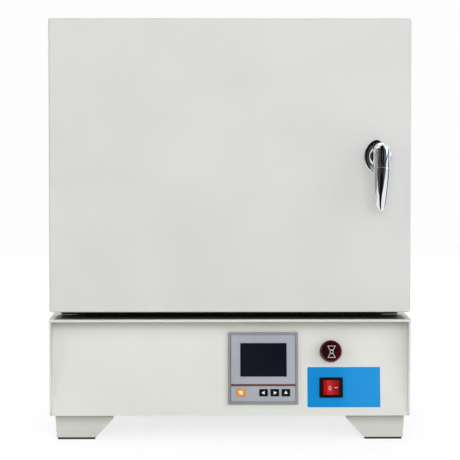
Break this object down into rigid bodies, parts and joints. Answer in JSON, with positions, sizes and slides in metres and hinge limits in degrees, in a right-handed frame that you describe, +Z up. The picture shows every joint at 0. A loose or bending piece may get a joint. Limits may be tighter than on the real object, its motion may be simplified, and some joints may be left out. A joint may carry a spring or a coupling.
{
  "type": "ashing furnace",
  "caption": "Bench ashing furnace: insulated cabinet with a side-hinged door and lever latch on a base with a leaning control panel.",
  "frame": {"origin": "middle of the overall box, on the bench surface", "axes": "+X to the user's right, +Y to the back of the furnace, +Z up from the bench"},
  "size_m": [0.482, 0.614, 0.5621],
  "materials": {
    "enamel": "satin",
    "foot_enamel": "satin",
    "galvanised": "satin",
    "stove_black": "matte",
    "chrome": "polished",
    "steel": "satin",
    "rubber": "matte",
    "fibre": "matte",
    "ceramic": "matte",
    "heater": "matte",
    "label_blue": "satin",
    "case_grey": "satin",
    "face_grey": "satin",
    "display": "gloss",
    "key_orange": "satin",
    "black_plastic": "satin",
    "lens_red": "gloss",
    "rocker_red": "gloss",
    "relay_white": "satin",
    "aluminium": "satin"
  },
  "bodies": {
    "cabinet": {"base_shell": "enamel", "base_top_plate": "enamel", "control_panel": "enamel", "base_back": "enamel", "cabinet_wrap": "enamel", "cabinet_back": "enamel", "rear_cover": "enamel", "foot_front_left": "foot_enamel", "foot_front_right": "foot_enamel", "foot_rear_left": "foot_enamel", "foot_rear_right": "foot_enamel", "foot_pads": "rubber", "base_screws": "steel", "back_screws": "steel", "hinge_pins": "steel", "controller_clamps": "steel", "exhaust_tube": "galvanised", "thermocouple": "galvanised", "cabinet_hinge_leaves": "galvanised", "front_frame": "stove_black", "insulation_front": "fibre", "insulation_bottom": "fibre", "insulation_top": "fibre", "insulation_left": "fibre", "insulation_right": "fibre", "insulation_rear": "fibre", "muffle": "ceramic", "hearth_plate": "ceramic", "lead_bushes": "ceramic", "element_left": "heater", "element_right": "heater", "label_plate": "label_blue", "controller_case": "case_grey", "controller_face": "face_grey", "controller_display": "display", "buzzer_body": "black_plastic", "buzzer_nut": "black_plastic", "switch_housing": "black_plastic", "cable_gland": "black_plastic", "gland_nut": "black_plastic", "buzzer_lens": "lens_red", "relay": "relay_white", "terminal_block": "relay_white", "heat_sink": "aluminium"},
    "door": {"door_skin": "enamel", "door_insulation": "fibre", "door_back": "stove_black", "door_plug": "fibre", "door_seal": "fibre", "door_hinge_leaves": "galvanised", "spindle_bush": "black_plastic", "rosette": "chrome"},
    "door_handle": {"handle_lever": "chrome", "spindle": "steel", "latch_tongue": "steel"},
    "rocker": {"switch_rocker": "rocker_red"},
    "set_key": {"set_key": "key_orange"},
    "left_key": {"left_key": "black_plastic"},
    "right_key": {"right_key": "black_plastic"},
    "up_key": {"up_key": "black_plastic"}
  },
  "joints": [
    {"name": "door_hinge", "type": "hinge", "parent": "cabinet", "child": "door", "pos_m": [-0.2353, -0.1975, 0.3671], "axis": [0, 0, -1], "range_deg": [0, 115]},
    {"name": "handle_turn", "type": "hinge", "parent": "door", "child": "door_handle", "pos_m": [0.198, -0.263, 0.3791], "axis": [0, 1, 0], "range_deg": [0, 90]},
    {"name": "rocker_tilt", "type": "hinge", "parent": "cabinet", "child": "rocker", "pos_m": [0.1357, -0.24669, 0.06907], "axis": [0, -0.1532, -0.9882], "range_deg": [0, 40]},
    {"name": "set_key_press", "type": "slide", "parent": "cabinet", "child": "set_key", "axis": [0, 0.9882, -0.1532], "range_m": [0, 0.0008], "stiffness_N_per_m": 300},
    {"name": "left_key_press", "type": "slide", "parent": "cabinet", "child": "left_key", "axis": [0, 0.9882, -0.1532], "range_m": [0, 0.0008], "stiffness_N_per_m": 300},
    {"name": "right_key_press", "type": "slide", "parent": "cabinet", "child": "right_key", "axis": [0, 0.9882, -0.1532], "range_m": [0, 0.0008], "stiffness_N_per_m": 300},
    {"name": "up_key_press", "type": "slide", "parent": "cabinet", "child": "up_key", "axis": [0, 0.9882, -0.1532], "range_m": [0, 0.0008], "stiffness_N_per_m": 300}
  ]
}
